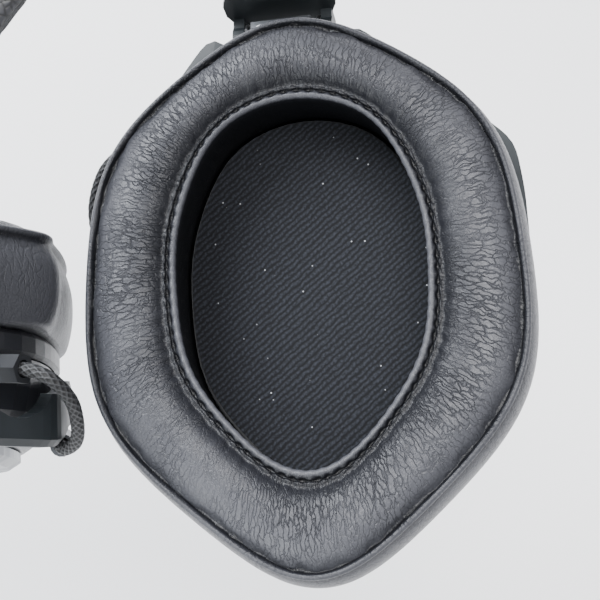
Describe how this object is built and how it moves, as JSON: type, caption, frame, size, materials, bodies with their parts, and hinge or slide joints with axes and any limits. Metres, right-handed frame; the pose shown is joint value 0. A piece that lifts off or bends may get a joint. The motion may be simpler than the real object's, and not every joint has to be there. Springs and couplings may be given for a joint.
{
  "type": "folding over-ear headset",
  "caption": "Folding over-ear headset: two hexagonal padded ear cups on yokes with fold, tilt and slide joints, padded spring headband.",
  "frame": {"origin": "middle of the head pad's inner face, where the pad rests on the head", "axes": "+X across the band and along the right cup's short width, +Z out of the right ear cushion towards the top of the band, +Y up the right cup towards its fold hinge"},
  "size_m": [0.177, 0.1405, 0.1914],
  "materials": {
    "leather": "grained soft leather over foam, charcoal",
    "cloth": "fine black twill",
    "felt": "matte felt",
    "plastic": "satin moulded",
    "black_metal": "black anodised",
    "grey_metal": "satin grey",
    "steel": "brushed",
    "braid": "braided sleeve",
    "film": "thin film",
    "board": "lacquered",
    "brass": "turned"
  },
  "bodies": {
    "headband": {"band_spring": "steel", "band_wrap": "leather", "head_pad": "leather", "end_housing_right": "black_metal", "end_housing_left": "black_metal"},
    "right_slider": {"slider_rail_right": "steel", "fold_bracket_right": "black_metal", "fold_pin_right": "steel", "fold_washer_front_right": "steel", "fold_washer_rear_right": "steel"},
    "right_yoke": {"yoke_right": "black_metal", "barrel_cover_right": "grey_metal", "barrel_screw_front_right": "steel", "barrel_screw_rear_right": "steel", "lead_ferrule_right": "grey_metal", "link_lead_right": "braid"},
    "right_cup": {"ear_cushion_right": "leather", "speaker_cloth_right": "cloth", "cushion_base_ring_right": "plastic", "baffle_right": "plastic", "driver_frame_right": "plastic", "driver_diaphragm_right": "film", "driver_magnet_right": "steel", "damping_felt_right": "felt", "terminal_board_right": "board", "cup_shell_right": "plastic", "shield_plate_right": "grey_metal", "lead_gland_right": "grey_metal", "jack_socket_right": "brass", "tilt_pin_front_right": "steel", "tilt_pin_rear_right": "steel"},
    "left_slider": {"slider_rail_left": "steel", "fold_bracket_left": "black_metal", "fold_pin_left": "steel", "fold_washer_front_left": "steel", "fold_washer_rear_left": "steel"},
    "left_yoke": {"yoke_left": "black_metal", "barrel_cover_left": "grey_metal", "barrel_screw_front_left": "steel", "barrel_screw_rear_left": "steel", "lead_ferrule_left": "grey_metal", "link_lead_left": "braid"},
    "left_cup": {"ear_cushion_left": "leather", "speaker_cloth_left": "cloth", "cushion_base_ring_left": "plastic", "baffle_left": "plastic", "driver_frame_left": "plastic", "driver_diaphragm_left": "film", "driver_magnet_left": "steel", "damping_felt_left": "felt", "terminal_board_left": "board", "cup_shell_left": "plastic", "shield_plate_left": "grey_metal", "lead_gland_left": "grey_metal", "jack_socket_left": "brass", "tilt_pin_front_left": "steel", "tilt_pin_rear_left": "steel", "microphone_capsule_left": "steel"}
  },
  "joints": [
    {"name": "slide_right", "type": "slide", "parent": "headband", "child": "right_slider", "axis": [0, -0.1908, -0.9816], "range_m": [-0.02, 0]},
    {"name": "fold_right", "type": "hinge", "parent": "right_slider", "child": "right_yoke", "pos_m": [0.00541, 0.02278, -0.13149], "axis": [-1, 0, 0], "range_deg": [-79, 0]},
    {"name": "tilt_right", "type": "hinge", "parent": "right_yoke", "child": "right_cup", "pos_m": [0.01091, -0.03362, -0.12999], "axis": [1, 0, 0], "range_deg": [-8, 8], "deforming": ["link_lead_right"]},
    {"name": "slide_left", "type": "slide", "parent": "headband", "child": "left_slider", "axis": [-0.3028, -0.2002, -0.9318], "range_m": [0, 0.02]},
    {"name": "fold_left", "type": "hinge", "parent": "left_slider", "child": "left_yoke", "pos_m": [-0.06679, -0.05776, -0.05561], "axis": [0.9511, 0, -0.309], "range_deg": [-15.5, 63.4]},
    {"name": "tilt_left", "type": "hinge", "parent": "left_yoke", "child": "left_cup", "pos_m": [-0.07891, -0.05233, -0.11072], "axis": [0.9511, 0, -0.309], "range_deg": [-8, 8], "deforming": ["link_lead_left"]}
  ]
}
